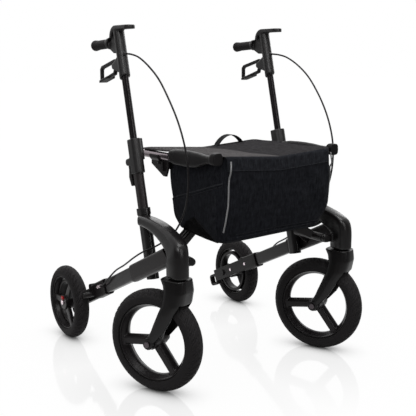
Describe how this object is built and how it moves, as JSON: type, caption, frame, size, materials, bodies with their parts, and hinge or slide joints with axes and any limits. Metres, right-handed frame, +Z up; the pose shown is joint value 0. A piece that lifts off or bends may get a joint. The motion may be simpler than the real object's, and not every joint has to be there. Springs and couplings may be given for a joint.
{
  "type": "rollator",
  "caption": "All-terrain folding rollator with swivel front wheels, fork casters, hand brakes, height-set handles, cross brace, sling seat and hanging bag.",
  "frame": {"origin": "on the floor in the mid-plane, 268 mm in front of the rear axles", "axes": "+X to the user's left, -Y forward, +Z up"},
  "size_m": [0.7452, 0.766, 0.9643],
  "materials": {
    "frame_paint": "satin",
    "sleeve_paint": "satin",
    "upright_anodised": "satin",
    "black_plastic": "satin",
    "grip_rubber": "matte",
    "cable_sheath": "satin",
    "bright_metal": "satin",
    "rim_plastic": "semi-gloss",
    "tyre_rubber": "matte",
    "red_plastic": "gloss",
    "fork_plastic": "satin",
    "axle_grey": "satin",
    "rail_metal": "gloss",
    "rail_grip_plastic": "satin",
    "brace_paint": "satin",
    "sling_fabric": "woven",
    "bag_fabric": "woven",
    "strap_webbing": "woven"
  },
  "bodies": {
    "right_frame": {"swan_neck_right": "frame_paint", "leg_sleeve_right": "sleeve_paint", "leg_tube_right": "frame_paint", "lower_upright_right": "frame_paint", "upper_upright_right": "upright_anodised", "height_clamp_right": "black_plastic", "rear_bracket_right": "black_plastic", "rivets_right": "bright_metal", "cable_barrel_right": "bright_metal", "rear_axle_right": "bright_metal", "hinge_pin_right": "black_plastic", "brake_cable_right": "cable_sheath"},
    "right_arm": {"brace_arm_right": "brace_paint", "seat_rail_left": "rail_metal", "rail_grip_left": "rail_grip_plastic", "centre_pin": "black_plastic"},
    "left_arm": {"brace_arm_left": "brace_paint", "seat_rail_right": "rail_metal", "rail_grip_right": "rail_grip_plastic"},
    "left_frame": {"swan_neck_left": "frame_paint", "leg_sleeve_left": "sleeve_paint", "leg_tube_left": "frame_paint", "lower_upright_left": "frame_paint", "upper_upright_left": "upright_anodised", "height_clamp_left": "black_plastic", "rear_bracket_left": "black_plastic", "rivets_left": "bright_metal", "cable_barrel_left": "bright_metal", "rear_axle_left": "bright_metal", "hinge_pin_left": "black_plastic", "brake_cable_left": "cable_sheath"},
    "bag_and_seat": {"bag": "bag_fabric", "seat_sling": "sling_fabric", "pull_strap": "strap_webbing"},
    "right_handle": {"handle_tube_right": "frame_paint", "handle_head_right": "black_plastic", "hand_grip_right": "grip_rubber"},
    "right_brake_lever": {"brake_lever_right": "black_plastic"},
    "right_clamp_lever": {"clamp_lever_right": "black_plastic"},
    "right_brake_arm": {"brake_arm_right": "black_plastic"},
    "right_caster": {"fork_right": "fork_plastic", "front_axle_right": "axle_grey"},
    "right_front_wheel": {"front_rim_right": "rim_plastic", "front_tyre_right": "tyre_rubber"},
    "right_rear_wheel": {"rear_rim_right": "rim_plastic", "rear_tyre_right": "tyre_rubber"},
    "right_release_tab": {"release_tab_right": "red_plastic"},
    "left_handle": {"handle_tube_left": "frame_paint", "handle_head_left": "black_plastic", "hand_grip_left": "grip_rubber"},
    "left_brake_lever": {"brake_lever_left": "black_plastic"},
    "left_clamp_lever": {"clamp_lever_left": "black_plastic"},
    "left_brake_arm": {"brake_arm_left": "black_plastic"},
    "left_caster": {"fork_left": "fork_plastic", "front_axle_left": "axle_grey"},
    "left_front_wheel": {"front_rim_left": "rim_plastic", "front_tyre_left": "tyre_rubber"},
    "left_rear_wheel": {"rear_rim_left": "rim_plastic", "rear_tyre_left": "tyre_rubber"},
    "left_release_tab": {"release_tab_left": "red_plastic"}
  },
  "joints": [
    {"name": "fold", "type": "hinge", "parent": "right_frame", "child": "right_arm", "pos_m": [-0.236, -0.24, 0.352], "axis": [0, -1, 0], "range_deg": [0, 36], "deforming": ["bag", "seat_sling", "pull_strap"]},
    {"name": "brace_cross", "type": "hinge", "parent": "right_arm", "child": "left_arm", "pos_m": [0, -0.13, 0.48444], "axis": [0, -1, 0], "range_deg": [-72, 0]},
    {"name": "left_frame_hinge", "type": "hinge", "parent": "left_arm", "child": "left_frame", "pos_m": [0.236, -0.24, 0.352], "axis": [0, -1, 0], "range_deg": [0, 36]},
    {"name": "bag_hang", "type": "hinge", "parent": "right_arm", "child": "bag_and_seat", "pos_m": [0.197, -0.24, 0.607], "axis": [0, -1, 0], "range_deg": [-36, 0]},
    {"name": "right_handle_height", "type": "slide", "parent": "right_frame", "child": "right_handle", "axis": [0, 0.2419, 0.9703], "range_m": [-0.12, 0.03], "deforming": ["brake_cable_right"]},
    {"name": "right_brake_squeeze", "type": "hinge", "parent": "right_handle", "child": "right_brake_lever", "pos_m": [-0.258, 0.04872, 0.85234], "axis": [1, 0, 0], "range_deg": [0, 14], "stiffness_Nm_per_rad": 0.6},
    {"name": "right_clamp_open", "type": "hinge", "parent": "right_frame", "child": "right_clamp_lever", "pos_m": [-0.258, -0.03454, 0.58712], "axis": [1, 0, 0], "range_deg": [0, 100]},
    {"name": "right_brake_press", "type": "hinge", "parent": "right_frame", "child": "right_brake_arm", "pos_m": [-0.305, 0.15694, 0.18444], "axis": [1, 0, 0], "range_deg": [0, 6.6]},
    {"name": "right_swivel", "type": "hinge", "parent": "right_frame", "child": "right_caster", "pos_m": [-0.285, -0.317, 0.2], "axis": [0, 0, 1], "continuous": true},
    {"name": "right_front_roll", "type": "hinge", "parent": "right_caster", "child": "right_front_wheel", "pos_m": [-0.31458, -0.25356, 0.14], "axis": [0.9063, 0.4226, 0], "continuous": true},
    {"name": "right_rear_roll", "type": "hinge", "parent": "right_frame", "child": "right_rear_wheel", "pos_m": [-0.33, 0.268, 0.115], "axis": [1, 0, 0], "continuous": true},
    {"name": "right_wheel_release", "type": "slide", "parent": "right_rear_wheel", "child": "right_release_tab", "axis": [1, 0, 0], "range_m": [0, 0.003], "stiffness_N_per_m": 800},
    {"name": "left_handle_height", "type": "slide", "parent": "left_frame", "child": "left_handle", "axis": [0, 0.2419, 0.9703], "range_m": [-0.12, 0.03], "deforming": ["brake_cable_left"]},
    {"name": "left_brake_squeeze", "type": "hinge", "parent": "left_handle", "child": "left_brake_lever", "pos_m": [0.258, 0.04872, 0.85234], "axis": [1, 0, 0], "range_deg": [0, 14], "stiffness_Nm_per_rad": 0.6},
    {"name": "left_clamp_open", "type": "hinge", "parent": "left_frame", "child": "left_clamp_lever", "pos_m": [0.258, -0.03454, 0.58712], "axis": [1, 0, 0], "range_deg": [0, 100]},
    {"name": "left_brake_press", "type": "hinge", "parent": "left_frame", "child": "left_brake_arm", "pos_m": [0.305, 0.15694, 0.18444], "axis": [1, 0, 0], "range_deg": [0, 6.6]},
    {"name": "left_swivel", "type": "hinge", "parent": "left_frame", "child": "left_caster", "pos_m": [0.285, -0.317, 0.2], "axis": [0, 0, 1], "continuous": true},
    {"name": "left_front_roll", "type": "hinge", "parent": "left_caster", "child": "left_front_wheel", "pos_m": [0.25542, -0.25356, 0.14], "axis": [0.9063, 0.4226, 0], "continuous": true},
    {"name": "left_rear_roll", "type": "hinge", "parent": "left_frame", "child": "left_rear_wheel", "pos_m": [0.33, 0.268, 0.115], "axis": [1, 0, 0], "continuous": true},
    {"name": "left_wheel_release", "type": "slide", "parent": "left_rear_wheel", "child": "left_release_tab", "axis": [-1, 0, 0], "range_m": [0, 0.003], "stiffness_N_per_m": 800}
  ],
  "couplings": [
    {"joint": "brace_cross", "follows": "fold", "ratio": -2},
    {"joint": "left_frame_hinge", "follows": "fold", "ratio": 1},
    {"joint": "bag_hang", "follows": "fold", "ratio": -1},
    {"joint": "right_brake_press", "follows": "right_brake_squeeze", "ratio": 0.47143},
    {"joint": "left_brake_press", "follows": "left_brake_squeeze", "ratio": 0.47143}
  ]
}
